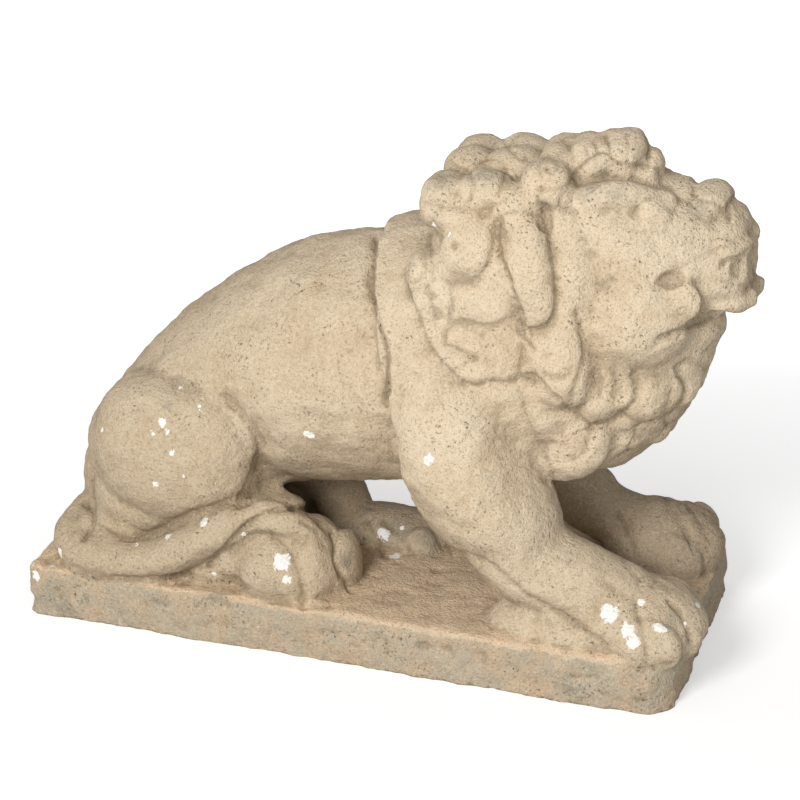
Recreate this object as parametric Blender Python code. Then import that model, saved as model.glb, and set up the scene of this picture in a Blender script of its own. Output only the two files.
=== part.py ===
"""A carved sandstone lion lying on its own plinth, with its head raised and its mouth open.

The block is one piece of stone. +X runs to the head, +Z is up, and the origin is under the middle of
the plinth, on its underside. The near side, which is carved in full, faces -Y.
"""

import math

import bmesh
import bpy
import numpy as np
from mathutils import Matrix, Vector, noise

# The plinth, in metres
PLINTH_LENGTH = 0.800
PLINTH_WIDTH = 0.342
PLINTH_HEIGHT = 0.065
HEAD_END_NEAR_CORNER = 0.042
HEAD_END_FAR_CORNER = 0.026
TAIL_END_NEAR_CORNER = 0.012
TAIL_END_FAR_CORNER = 0.020
EDGE_WEAR = 0.009
SAWN_OFF_BELOW = 0.030

# The piece lost from the plinth's far edge: its middle, its length and how far in it goes
EDGE_BREAK_MIDDLE = -0.030
EDGE_BREAK_LENGTH = 0.192
EDGE_BREAK_DEPTH = 0.064

# The tool that takes it away, in drawn units: how far it stands clear, and its half height
EDGE_BREAK_SPARE = 33
EDGE_BREAK_TALL = 110

# The figure, in metres from the rump to the jaw. Its points are drawn in thousandths of a metre at
# the drawn length, with heights counted from the top of the plinth.
FIGURE_LENGTH = 0.842
DRAWN_LENGTH = 842.0
UNIT = FIGURE_LENGTH / DRAWN_LENGTH

# How finely the stone is worked, and how it waves by hand work and weather
ROUGH_VOXEL = 0.0065
CARVING_VOXEL = 0.0048
MOST_TRIANGLES = 9600
FLAT_WITHIN = 0.0008
RING_SIDES = 20
WAVE_DEPTH = 0.0035
WAVE_LENGTH = 0.05
SHARP_ANGLE = 55

# The mane
RUFF_CENTRE = (256, 0, 345)
RUFF_RADII = (142, 104, 172)
ROOT_DEPTH = 0.88
TIP_DEPTH = 0.94
RIB_DEPTH = 0.16
LOCK_RINGS = 13
LOCK_FULLNESS = 0.55
FAR_CROWN_FALL = 0.4
FAR_CROWN_FROM = 460

# The paws
FORE_TOES = 4
HIND_TOES = 3
TOE_HALF_WIDTH = 19

NEAR = -1
FAR = 1


def spot(x, y, z):
    """A drawn point of the figure, in metres."""
    return Vector((x * UNIT, y * UNIT, PLINTH_HEIGHT + z * UNIT))


def clear_scene():
    for obj in list(bpy.data.objects):
        bpy.data.objects.remove(obj, do_unlink=True)


def turned(roll=0.0, pitch=0.0, yaw=0.0):
    """A rotation in degrees about X, then Y, then Z."""
    return (
        Matrix.Rotation(math.radians(yaw), 4, "Z")
        @ Matrix.Rotation(math.radians(pitch), 4, "Y")
        @ Matrix.Rotation(math.radians(roll), 4, "X")
    )


def lump(clay, centre, radii, turn=None, squareness=2.0):
    """Adds an egg of stone. A squareness over 2 fills its corners."""
    ball = bmesh.ops.create_icosphere(clay, subdivisions=3, radius=1)["verts"]
    for vert in ball:
        vert.co /= sum(abs(c) ** squareness for c in vert.co) ** (1 / squareness)
    sizes = Matrix.Diagonal((*(radius * UNIT for radius in radii), 1))
    place = Matrix.Translation(spot(*centre)) @ (turn or Matrix()) @ sizes
    bmesh.ops.transform(clay, matrix=place, verts=ball)


def skin(clay, rings):
    """Joins rings of points into one closed skin, with a flat face on each end."""
    loops = [[clay.verts.new(point) for point in ring] for ring in rings]
    count = len(loops[0])
    for first, second in zip(loops, loops[1:]):
        for i in range(count):
            j = (i + 1) % count
            clay.faces.new((first[i], first[j], second[j], second[i]))
    clay.faces.new(loops[0][::-1])
    clay.faces.new(loops[-1])
    faces = {face for loop in loops for vert in loop for face in vert.link_faces}
    bmesh.ops.recalc_face_normals(clay, faces=list(faces))


def barrel(clay, stations, squareness=2.0):
    """Adds a body along X from stations of (x, z, half height, half width)."""
    angles = [math.pi * i / RING_SIDES for i in range(2 * RING_SIDES)]
    rings = []
    for x, z, high, wide in stations:
        ring = []
        for a in angles:
            fill = (abs(math.cos(a)) ** squareness + abs(math.sin(a)) ** squareness) ** (1 / squareness)
            ring.append(spot(x, wide * math.cos(a) / fill, z + high * math.sin(a) / fill))
        rings.append(ring)
    skin(clay, rings)


def along(points, steps):
    """Smooth stations through the points: a Catmull-Rom curve in every column."""
    values = np.array(points, float)
    padded = np.vstack([2 * values[0] - values[1], values, 2 * values[-1] - values[-2]])
    found = []
    for i in range(1, len(padded) - 2):
        p0, p1, p2, p3 = padded[i - 1 : i + 3]
        for t in np.arange(steps) / steps:
            turn = (p2 - p0) * t + (2 * p0 - 5 * p1 + 4 * p2 - p3) * t**2
            found.append(p1 + 0.5 * (turn + (3 * p1 - p0 - 3 * p2 + p3) * t**3))
    found.append(values[-1])
    return np.array(found)


def limb(clay, stations, steps=5):
    """Adds a round limb through stations of (x, y, z, radius), with round ends."""
    path = along(stations, steps)
    places = [spot(*row[:3]) for row in path]
    radii = [max(float(row[3]), 1.0) * UNIT for row in path]
    angles = [2 * math.pi * i / RING_SIDES for i in range(RING_SIDES)]
    rings = []
    for i, (place, radius) in enumerate(zip(places, radii)):
        ahead = (places[min(i + 1, len(places) - 1)] - places[max(i - 1, 0)]).normalized()
        side = ahead.cross(Vector((0, 0, 1))).normalized()
        up = side.cross(ahead)
        ends = ((0, -1, (0.92, 0.6)), (len(places) - 1, 1, (0.6, 0.92)))
        ring = [(1.0, 0.0)]
        for end, way, shares in ends:
            if i == end:
                domes = [(share, way * math.sqrt(1 - share**2)) for share in shares]
                ring = domes + ring if way < 0 else ring + domes
                ring.sort(key=lambda pair: pair[1])
        for share, shift in ring:
            middle = place + ahead * shift * radius
            rings.append(
                [
                    middle + share * radius * (side * math.cos(a) + up * math.sin(a))
                    for a in angles
                ]
            )
    skin(clay, rings)


def lock(clay, root, tip, width, thickness, outward, ribs=1, fullest=0.55):
    """Adds a lobe of hair that lies on the mane from root to tip, ribbed along its length."""
    start, end = spot(*root), spot(*tip)
    ahead = (end - start).normalized()
    side = ahead.cross(outward).normalized()
    out = side.cross(ahead).normalized()
    angles = [math.pi * i / RING_SIDES for i in range(2 * RING_SIDES)]
    skew = math.log(0.5) / math.log(fullest)
    rings = []
    for t in np.linspace(0.02, 0.98, LOCK_RINGS):
        swell = math.sin(math.pi * t**skew) ** LOCK_FULLNESS
        middle = start.lerp(end, t)
        ring = []
        for a in angles:
            ribbed = 1 + RIB_DEPTH * math.cos(2 * ribs * a)
            across = side * width * UNIT / 2 * swell * math.cos(a)
            ring.append(middle + across + out * thickness * UNIT * swell * ribbed * math.sin(a))
        rings.append(ring)
    skin(clay, rings)


def mesh_of(clay, name):
    mesh = bpy.data.meshes.new(name)
    clay.to_mesh(mesh)
    clay.free()
    return mesh


def finished(mesh, name, *modifiers):
    """The mesh after the modifiers, each given as (type, settings)."""
    obj = bpy.data.objects.new(name, mesh)
    bpy.context.scene.collection.objects.link(obj)
    for kind, settings in modifiers:
        modifier = obj.modifiers.new(kind.title(), kind)
        for setting, value in settings.items():
            setattr(modifier, setting, value)
    graph = bpy.context.evaluated_depsgraph_get()
    result = bpy.data.meshes.new_from_object(obj.evaluated_get(graph))
    bpy.data.objects.remove(obj)
    return result


def fused(mesh, name, voxel, smoothing):
    """One skin round everything in the mesh, its joins softened."""
    return finished(
        mesh,
        name,
        ("REMESH", {"mode": "VOXEL", "voxel_size": voxel}),
        ("SMOOTH", {"factor": 0.5, "iterations": smoothing}),
    )


def joined(*meshes):
    clay = bmesh.new()
    for mesh in meshes:
        clay.from_mesh(mesh)
    return mesh_of(clay, "joined")


def hindquarters():
    """The barrel of the body with the haunches and the hind legs."""
    clay = bmesh.new()
    stations = [
        (-372, 74, 36, 46),
        (-356, 84, 78, 84),
        (-306, 118, 112, 112),
        (-236, 171, 132, 120),
        (-166, 210, 144, 124),
        (-96, 242, 152, 128),
        (-25, 258, 154, 130),
        (60, 270, 154, 130),
        (150, 278, 137, 118),
    ]
    barrel(clay, along(stations, 3))
    for side in (NEAR, FAR):
        lump(clay, (-234, side * 84, 140), (112, 66, 100))
        lump(clay, (-300, side * 92, 26), (74, 56, 44))
    lump(clay, (-176, -106, 22), (70, 46, 44))
    lump(clay, (-150, 92, 26), (70, 46, 48))
    limb(clay, [(-210, -92, 56, 44), (-150, -98, 58, 42), (-96, -88, 66, 38)])
    limb(clay, [(-170, 90, 96, 50), (-118, 84, 72, 44), (-92, 78, 46, 38), (-66, 66, 14, 30)])
    return fused(mesh_of(clay, "hindquarters"), "hindquarters", ROUGH_VOXEL, 8)


def forequarters():
    """The chest and shoulders, which stand a step proud of the barrel, with the forelegs."""
    clay = bmesh.new()
    stations = [
        (-10, 272, 160, 138),
        (50, 282, 160, 141),
        (110, 290, 158, 142),
        (170, 292, 154, 134),
        (235, 290, 138, 114),
        (285, 280, 108, 84),
        (312, 272, 56, 44),
    ]
    barrel(clay, along(stations, 3))
    near_leg = [
        (112, -88, 262, 74),
        (122, -96, 206, 76),
        (153, -100, 156, 73),
        (185, -102, 120, 65),
        (216, -103, 74, 54),
        (286, -100, 50, 48),
        (336, -98, 32, 44),
    ]
    far_leg = [
        (112, 88, 262, 72),
        (126, 96, 206, 70),
        (156, 100, 154, 64),
        (186, 102, 112, 54),
        (216, 103, 74, 44),
        (256, 102, 42, 38),
        (300, 100, 32, 36),
    ]
    limb(clay, near_leg)
    limb(clay, far_leg)
    lump(clay, (344, -98, 18), (80, 66, 48))
    lump(clay, (330, 98, 18), (76, 62, 54))
    lump(clay, (262, -112, 2), (96, 50, 28))
    return fused(mesh_of(clay, "forequarters"), "forequarters", ROUGH_VOXEL, 7)


def behind_the_shoulder(mesh):
    """Cuts the forequarters off along the slanting line behind the shoulder."""
    clay = bmesh.new()
    clay.from_mesh(mesh)
    everything = clay.verts[:] + clay.edges[:] + clay.faces[:]
    lean = Vector((1, 0, 0.25)).normalized()
    cut = bmesh.ops.bisect_plane(
        clay, geom=everything, plane_co=spot(50, 0, 280), plane_no=lean, clear_inner=True
    )
    rim = [item for item in cut["geom_cut"] if isinstance(item, bmesh.types.BMEdge)]
    bmesh.ops.contextual_create(clay, geom=rim)
    return mesh_of(clay, "forequarters")


def head():
    """The skull and the broad flat cheeks, running straight out into the muzzle."""
    clay = bmesh.new()
    stations = [
        (200, 444, 84, 100),
        (258, 444, 90, 104),
        (305, 440, 90, 98),
        (350, 432, 80, 84),
        (392, 428, 66, 66),
        (418, 428, 50, 52),
        (432, 430, 32, 36),
    ]
    barrel(clay, along(stations, 3), 2.2)
    return fused(mesh_of(clay, "head"), "head", CARVING_VOXEL, 5)


def on_side(side, x, y, z):
    """A place on the near or the far side. The crown falls away a little on the far side."""
    if side == FAR:
        z -= FAR_CROWN_FALL * max(z - FAR_CROWN_FROM, 0)
    return (x, side * y, z)


def face(clay):
    """The brows, eyes, nose and lips."""
    for side in (NEAR, FAR):
        brow = [(238, 78, 508, 12), (292, 68, 520, 15), (342, 44, 508, 11)]
        limb(clay, [(*on_side(side, *row[:3]), row[3]) for row in brow])
        lump(clay, on_side(side, 324, 62, 497), (24, 16, 12))
        lump(clay, (330, side * 78, 404), (62, 14, 40))
        limb(clay, [(384, side * 46, 458, 13), (410, side * 40, 455, 14), (424, side * 20, 456, 14)])
        limb(clay, [(376, side * 54, 396, 10), (406, side * 44, 391, 12), (434, side * 20, 393, 10)])
    lump(clay, (347, 0, 500), (22, 32, 12))
    lump(clay, (386, 0, 494), (25, 34, 18))
    lump(clay, (400, 0, 460), (34, 46, 34), squareness=2.4)
    lump(clay, (402, 0, 393), (40, 42, 17), squareness=2.6)


def mane_mass():
    """The bulk of the hair, under its locks."""
    clay = bmesh.new()
    lump(clay, (160, 0, 416), (84, 120, 104), squareness=2.7)
    lump(clay, (216, 0, 400), (92, 116, 122), squareness=2.7)
    lump(clay, (170, 0, 348), (74, 120, 70), squareness=2.7)
    lump(clay, RUFF_CENTRE, RUFF_RADII)
    lump(clay, (262, 0, 228), (78, 84, 66))
    for side in (NEAR, FAR):
        lump(clay, (300, side * 66, 378), (82, 44, 72))
        lump(clay, on_side(side, 124, 84, 480), (38, 36, 30))
        lump(clay, (112, side * 92, 392), (30, 32, 60))
    return fused(mesh_of(clay, "mane"), "mane", ROUGH_VOXEL, 4)


def from_core(x, y, z):
    """The way out of the mane at a point, away from a line through the middle of the neck."""
    share = min(max((440 - z) / 140, 0), 1)
    core = Vector((160 + 110 * share, 0, 440 - 140 * share))
    return (Vector((x, y, z)) - core).normalized()


def ruff_point(turn, drop, share):
    """A point of the ruff: turn in degrees from straight ahead, drop below level, share of its size."""
    a, d = math.radians(turn), math.radians(drop)
    way = (math.cos(a) * math.cos(d), math.sin(a) * math.cos(d), -math.sin(d))
    return tuple(c + share * r * w for c, r, w in zip(RUFF_CENTRE, RUFF_RADII, way))


def ruff(clay):
    """Two rows of hanging scallops round the throat and chest, lapped like tiles."""
    rows = [
        # locks, spread, top, bottom, width, thickness, ribs
        (7, 72, -6, 37, 74, 22, 2),
        (4, 42, 32, 60, 66, 22, 2),
    ]
    for count, spread, top, bottom, width, thickness, ribs in rows:
        for i in range(count):
            turn = -spread + 2 * spread * i / (count - 1)
            root = ruff_point(turn, top, ROOT_DEPTH)
            tip = ruff_point(turn * 0.96, bottom, TIP_DEPTH)
            middle = [(a + b) / 2 for a, b in zip(root, tip)]
            lock(clay, root, tip, width, thickness, from_core(*middle), ribs, 0.72)


def mane_locks(clay):
    """The large worn lobes and curls beside and behind the head."""
    lobes = [
        # centre, radii, lean in degrees
        ((141, 104, 446), (37, 24, 41), 4),
        ((160, 106, 386), (42, 25, 34), 0),
        ((158, 104, 326), (54, 26, 40), 10),
        ((210, 106, 422), (28, 26, 68), -9),
        ((242, 102, 324), (37, 28, 52), -14),
        ((246, 80, 222), (47, 28, 48), -20),
        ((82, 94, 410), (20, 26, 24), 0),
        ((91, 100, 368), (20, 26, 32), -14),
        ((101, 76, 489), (27, 34, 34), 0),
        ((146, 78, 503), (31, 30, 28), 0),
        ((217, 76, 520), (29, 28, 28), 0),
        ((182, 86, 492), (28, 28, 28), 0),
    ]
    for side in (NEAR, FAR):
        for centre, radii, lean in lobes:
            lump(clay, on_side(side, *centre), radii, turned(pitch=lean), squareness=2.4)
        lump(clay, (114, side * 24, 514), (30, 32, 24))
        lump(clay, (166, side * 22, 520), (36, 34, 22))


def crest(clay):
    """The heavy fringe that stands over the brow, lock beside lock."""
    fringe = [
        # centre, radii
        ((222, 34, 536), (26, 42, 20)),
        ((250, 30, 541), (24, 34, 24)),
        ((282, 22, 546), (30, 32, 24)),
        ((311, 14, 530), (18, 26, 18)),
    ]
    for side in (NEAR, FAR):
        for centre, radii in fringe:
            lump(clay, on_side(side, *centre), radii, turned(roll=-side * 20), squareness=2.8)


def toes(clay, x, y, z, count, spread, length, height):
    """A row of toes across a paw, the outer ones set back."""
    for i in range(count):
        across = -1 + 2 * i / (count - 1)
        back = 16 * across**2
        lump(clay, (x - back, y + spread * across, z), (length, TOE_HALF_WIDTH, height))


def paws(clay):
    toes(clay, 384, -100, 14, FORE_TOES, 52, 38, 34)
    toes(clay, 368, 99, 18, FORE_TOES, 48, 36, 36)
    for side in (NEAR, FAR):
        lump(clay, (-226, side * 88, 150), (106, 70, 94), squareness=2.5)
    lump(clay, (-264, -84, 78), (78, 56, 60))
    lump(clay, (-86, -100, 22), (78, 62, 62))
    lump(clay, (-98, -134, 22), (40, 32, 44))
    lump(clay, (-48, -116, 26), (28, 36, 50))
    lump(clay, (-22, -84, 20), (22, 36, 42))
    lump(clay, (0, 50, 4), (86, 44, 28))
    toes(clay, 56, 48, 6, HIND_TOES, 30, 26, 20)


def tail(clay):
    """From behind the rump, round the near haunch along the plinth, and up into the flank."""
    route = [
        (-326, -40, 60, 20),
        (-350, -76, 40, 23),
        (-360, -112, 24, 25),
        (-340, -140, 16, 25),
        (-292, -148, 14, 25),
        (-238, -146, 22, 25),
        (-192, -142, 46, 25),
        (-150, -136, 76, 24),
        (-122, -128, 90, 21),
        (-96, -118, 90, 18),
        (-70, -110, 78, 15),
        (-50, -106, 62, 12),
    ]
    limb(clay, route, steps=3)


def plinth():
    """The slab, with worn corners and edges, reaching below the cut of the underside."""
    clay = bmesh.new()
    x, y = PLINTH_LENGTH / 2, PLINTH_WIDTH / 2
    corners = [
        (x, -y, HEAD_END_NEAR_CORNER, -90),
        (x, y, HEAD_END_FAR_CORNER, 0),
        (-x, y, TAIL_END_FAR_CORNER, 90),
        (-x, -y, TAIL_END_NEAR_CORNER, 180),
    ]
    rim = []
    for cx, cy, radius, start in corners:
        mx, my = cx - math.copysign(radius, cx), cy - math.copysign(radius, cy)
        for step in range(7):
            a = math.radians(start + 15 * step)
            point = (mx + radius * math.cos(a), my + radius * math.sin(a), -SAWN_OFF_BELOW)
            rim.append(clay.verts.new(point))
    base = clay.faces.new(rim)
    top = bmesh.ops.extrude_face_region(clay, geom=[base])["geom"]
    lifted = [item for item in top if isinstance(item, bmesh.types.BMVert)]
    bmesh.ops.translate(clay, vec=(0, 0, PLINTH_HEIGHT + SAWN_OFF_BELOW), verts=lifted)
    edges = [edge for edge in clay.edges if all(vert in lifted for vert in edge.verts)]
    bmesh.ops.bevel(clay, geom=edges, offset=EDGE_WEAR, segments=3, profile=0.5, affect="EDGES")
    bmesh.ops.recalc_face_normals(clay, faces=clay.faces)
    return mesh_of(clay, "plinth")


def hollows():
    """What is cut out: the mouth beside the tongue, the lips' corners, the ears and a lost edge."""
    clay = bmesh.new()
    for side in (NEAR, FAR):
        lump(clay, (444, side * 58, 431), (33, 36, 14), squareness=5)
        lump(clay, (362, side * 96, 414), (27, 19, 14), turned(pitch=-14))
        lump(clay, (221, side * 104, 492), (10, 14, 17))
    edge = PLINTH_WIDTH / 2 / UNIT
    reach = EDGE_BREAK_DEPTH / UNIT + EDGE_BREAK_SPARE
    middle = (EDGE_BREAK_MIDDLE / UNIT, edge + EDGE_BREAK_SPARE, -EDGE_BREAK_SPARE)
    lump(clay, middle, (EDGE_BREAK_LENGTH / 2 / UNIT, reach, EDGE_BREAK_TALL), squareness=4)
    return mesh_of(clay, "hollows")


def cut(mesh, cutter):
    """The stone with the cutter's shape taken out."""
    tool = bpy.data.objects.new("cutter", cutter)
    tool.hide_render = True
    tool.display_type = "WIRE"
    bpy.context.scene.collection.objects.link(tool)
    result = finished(mesh, "cut", ("BOOLEAN", {"operation": "DIFFERENCE", "object": tool}))
    bpy.data.objects.remove(tool)
    return result


def weathered(mesh):
    """Waves the surface gently, as hand work and weather leave it."""
    for vert, normal in zip(mesh.vertices, [tuple(n.vector) for n in mesh.vertex_normals]):
        vert.co += Vector(normal) * WAVE_DEPTH * noise.noise(vert.co / WAVE_LENGTH)
    return mesh


def biggest_skin(mesh):
    """Leaves out any pocket sealed inside the stone."""
    clay = bmesh.new()
    clay.from_mesh(mesh)
    left = set(clay.verts)
    skins = []
    while left:
        found, ahead = set(), [left.pop()]
        while ahead:
            vert = ahead.pop()
            found.add(vert)
            new = {edge.other_vert(vert) for edge in vert.link_edges} & left
            left -= new
            ahead.extend(new)
        skins.append(found)
    skins.sort(key=len)
    for skin_verts in skins[:-1]:
        bmesh.ops.delete(clay, geom=list(skin_verts), context="VERTS")
    return mesh_of(clay, "stone")


def flat_below(mesh):
    """Saws the underside flat."""
    clay = bmesh.new()
    clay.from_mesh(mesh)
    everything = clay.verts[:] + clay.edges[:] + clay.faces[:]
    sawn = bmesh.ops.bisect_plane(
        clay, geom=everything, plane_co=(0, 0, 0), plane_no=(0, 0, -1), clear_outer=True
    )["geom_cut"]
    rim = [item for item in sawn if isinstance(item, bmesh.types.BMEdge)]
    bmesh.ops.contextual_create(clay, geom=rim)
    bmesh.ops.triangulate(clay, faces=clay.faces)
    return mesh_of(clay, "stone")


def thinned(mesh):
    """The stone in fewer triangles, its underside kept flat."""
    faces = sum(len(polygon.vertices) - 2 for polygon in mesh.polygons)
    mesh = finished(mesh, "stone", ("DECIMATE", {"ratio": MOST_TRIANGLES / faces}))
    for vert in mesh.vertices:
        if vert.co.z < FLAT_WITHIN:
            vert.co.z = 0.0
    return mesh


def stone_material():
    material = bpy.data.materials.new("weathered sandstone")
    material.use_nodes = True
    shader = material.node_tree.nodes["Principled BSDF"]
    shader.inputs["Base Color"].default_value = (0.56, 0.45, 0.29, 1)
    shader.inputs["Roughness"].default_value = 0.95
    shader.inputs["Metallic"].default_value = 0.0
    return material


def carve():
    """The whole statue, from rough masses to the sawn underside."""
    details = bmesh.new()
    face(details)
    ruff(details)
    mane_locks(details)
    crest(details)
    paws(details)
    tail(details)
    block = joined(
        hindquarters(),
        behind_the_shoulder(forequarters()),
        head(),
        mane_mass(),
        plinth(),
        mesh_of(details, "details"),
    )
    stone = fused(block, "stone", CARVING_VOXEL, 2)
    stone = fused(cut(stone, hollows()), "stone", CARVING_VOXEL, 1)
    stone = weathered(biggest_skin(stone))
    return thinned(flat_below(stone))


def main():
    clear_scene()
    mesh = carve()
    mesh.materials.append(stone_material())
    mesh.shade_smooth()
    mesh.set_sharp_from_angle(angle=math.radians(SHARP_ANGLE))
    statue = bpy.data.objects.new("lion_statue", mesh)
    bpy.context.scene.collection.objects.link(statue)


main()
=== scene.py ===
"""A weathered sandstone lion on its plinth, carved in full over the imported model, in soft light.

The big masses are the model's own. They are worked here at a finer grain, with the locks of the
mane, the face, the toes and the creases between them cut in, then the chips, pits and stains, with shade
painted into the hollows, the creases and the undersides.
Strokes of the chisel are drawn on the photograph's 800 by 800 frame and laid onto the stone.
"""

import math

import bmesh
import bpy
import numpy as np
from mathutils import Matrix, Vector, noise
from mathutils.bvhtree import BVHTree


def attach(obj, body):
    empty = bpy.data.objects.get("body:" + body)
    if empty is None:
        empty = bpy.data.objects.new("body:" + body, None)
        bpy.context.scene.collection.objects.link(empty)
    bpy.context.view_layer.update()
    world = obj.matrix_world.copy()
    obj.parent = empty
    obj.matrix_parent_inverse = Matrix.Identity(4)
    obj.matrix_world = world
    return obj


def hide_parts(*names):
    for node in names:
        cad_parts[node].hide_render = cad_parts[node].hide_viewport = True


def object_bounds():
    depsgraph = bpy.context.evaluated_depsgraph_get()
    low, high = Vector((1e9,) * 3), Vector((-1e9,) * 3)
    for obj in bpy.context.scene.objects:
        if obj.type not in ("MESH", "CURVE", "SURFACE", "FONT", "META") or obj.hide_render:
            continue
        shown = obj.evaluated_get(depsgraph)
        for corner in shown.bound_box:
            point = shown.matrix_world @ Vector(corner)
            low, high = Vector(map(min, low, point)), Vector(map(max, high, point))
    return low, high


# The plinth, in metres
PLINTH_LENGTH = 0.800
PLINTH_WIDTH = 0.342
PLINTH_HEIGHT = 0.065
HEAD_END_NEAR_CORNER = 0.042
HEAD_END_FAR_CORNER = 0.026
TAIL_END_NEAR_CORNER = 0.012
TAIL_END_FAR_CORNER = 0.020
EDGE_WEAR = 0.009
SAWN_OFF_BELOW = 0.030

# The piece lost from the plinth's far edge: its middle, its length and how far in it goes
EDGE_BREAK_MIDDLE = -0.030
EDGE_BREAK_LENGTH = 0.192
EDGE_BREAK_DEPTH = 0.064

# The tool that takes it away, in drawn units: how far it stands clear, and its half height
EDGE_BREAK_SPARE = 33
EDGE_BREAK_TALL = 110

# The figure is drawn in thousandths of a metre, with heights counted from the top of the plinth
UNIT = 0.001
MM = 0.001

# How finely the stone is worked, in metres
ROUGH_VOXEL = 0.0065
CARVING_VOXEL = 0.0048
FINE_VOXEL = 0.0026
FLAT_WITHIN = 0.0008
MOST_TRIANGLES = 196000

# How rings and curves are divided, and the domes that close a limb as shares of its radius
RING_SIDES = 20
BARREL_STEPS = 3
LIMB_STEPS = 5
LINE_STEPS = 5
CORNER_STEPS = 6
DOME_SHARES = (0.92, 0.6)
THINNEST_LIMB = 1.0

# The mane
RUFF_CENTRE = (256, 0, 345)
RUFF_RADII = (142, 104, 172)
ROOT_DEPTH = 0.88
TIP_DEPTH = 0.93
RIB_DEPTH = 0.1
LOCK_RINGS = 17
LOCK_ENDS = (0.02, 0.98)
LOCK_FULLNESS = 0.55
FULLEST_ALONG = 0.72
TIP_TURN = 0.96
FAR_CROWN_FALL = 0.4
FAR_CROWN_FROM = 460

# The line through the middle of the neck that the hair stands out from: its top, how far it
# comes forward and how far it falls
CORE_X = 160
CORE_Z = 440
CORE_FORWARD = 110
CORE_FALL = 140

# The paws
FORE_TOES = 4
HIND_TOES = 3
TOE_HALF_WIDTH = 19
OUTER_TOE_SET_BACK = 16

# The side towards the camera and the side away from it
NEAR = -1
FAR = 1

# The camera, from the photograph
CAMERA_AZIMUTH = 18.2
CAMERA_ELEVATION = 24.16
CAMERA_DISTANCE = 2.7988
CAMERA_LENS_MM = 105.75
CAMERA_FILM_MM = 36.0
CAMERA_TARGET = Vector((0.0223, 0, 0.2701))
PHOTO_SIDE = 800


def spot(x, y, z):
    """A drawn point of the figure, in metres."""
    return Vector((x * UNIT, y * UNIT, PLINTH_HEIGHT + z * UNIT))


def turned(roll=0.0, pitch=0.0, yaw=0.0):
    """A rotation in degrees about X, then Y, then Z."""
    return (
        Matrix.Rotation(math.radians(yaw), 4, "Z")
        @ Matrix.Rotation(math.radians(pitch), 4, "Y")
        @ Matrix.Rotation(math.radians(roll), 4, "X")
    )


def lump(clay, centre, radii, turn=None, squareness=2.0):
    """Adds an egg of stone. A squareness over 2 fills its corners."""
    ball = bmesh.ops.create_icosphere(clay, subdivisions=4, radius=1)["verts"]
    for vert in ball:
        vert.co /= sum(abs(c) ** squareness for c in vert.co) ** (1 / squareness)
    sizes = Matrix.Diagonal((*(radius * UNIT for radius in radii), 1))
    place = Matrix.Translation(spot(*centre)) @ (turn or Matrix()) @ sizes
    bmesh.ops.transform(clay, matrix=place, verts=ball)


def skin(clay, rings):
    """Joins rings of points into one closed skin, with a flat face on each end."""
    loops = [[clay.verts.new(point) for point in ring] for ring in rings]
    count = len(loops[0])
    for first, second in zip(loops, loops[1:]):
        for i in range(count):
            j = (i + 1) % count
            clay.faces.new((first[i], first[j], second[j], second[i]))
    clay.faces.new(loops[0][::-1])
    clay.faces.new(loops[-1])
    faces = {face for loop in loops for vert in loop for face in vert.link_faces}
    bmesh.ops.recalc_face_normals(clay, faces=list(faces))


def barrel(clay, stations, squareness=2.0):
    """Adds a body along X from stations of (x, z, half height, half width)."""
    angles = [math.pi * i / RING_SIDES for i in range(2 * RING_SIDES)]
    rings = []
    for x, z, high, wide in stations:
        ring = []
        for a in angles:
            fill = (abs(math.cos(a)) ** squareness + abs(math.sin(a)) ** squareness) ** (1 / squareness)
            ring.append(spot(x, wide * math.cos(a) / fill, z + high * math.sin(a) / fill))
        rings.append(ring)
    skin(clay, rings)


def along(points, steps):
    """Smooth stations through the points: a Catmull-Rom curve in every column."""
    values = np.array(points, float)
    padded = np.vstack([2 * values[0] - values[1], values, 2 * values[-1] - values[-2]])
    found = []
    for i in range(1, len(padded) - 2):
        p0, p1, p2, p3 = padded[i - 1 : i + 3]
        for t in np.arange(steps) / steps:
            turn = (p2 - p0) * t + (2 * p0 - 5 * p1 + 4 * p2 - p3) * t**2
            found.append(p1 + 0.5 * (turn + (3 * p1 - p0 - 3 * p2 + p3) * t**3))
    found.append(values[-1])
    return np.array(found)


def limb(clay, stations, steps=LIMB_STEPS):
    """Adds a round limb through stations of (x, y, z, radius), with round ends."""
    path = along(stations, steps)
    places = [spot(*row[:3]) for row in path]
    radii = [max(float(row[3]), THINNEST_LIMB) * UNIT for row in path]
    angles = [2 * math.pi * i / RING_SIDES for i in range(RING_SIDES)]
    rings = []
    for i, (place, radius) in enumerate(zip(places, radii)):
        ahead = (places[min(i + 1, len(places) - 1)] - places[max(i - 1, 0)]).normalized()
        side = ahead.cross(Vector((0, 0, 1))).normalized()
        up = side.cross(ahead)
        slices = [(1.0, 0.0)]
        for end, way in ((0, -1), (len(places) - 1, 1)):
            if i == end:
                slices += [(share, way * math.sqrt(1 - share**2)) for share in DOME_SHARES]
        for share, shift in sorted(slices, key=lambda pair: pair[1]):
            middle = place + ahead * shift * radius
            rings.append([
                middle + share * radius * (side * math.cos(a) + up * math.sin(a)) for a in angles
            ])
    skin(clay, rings)


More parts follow.
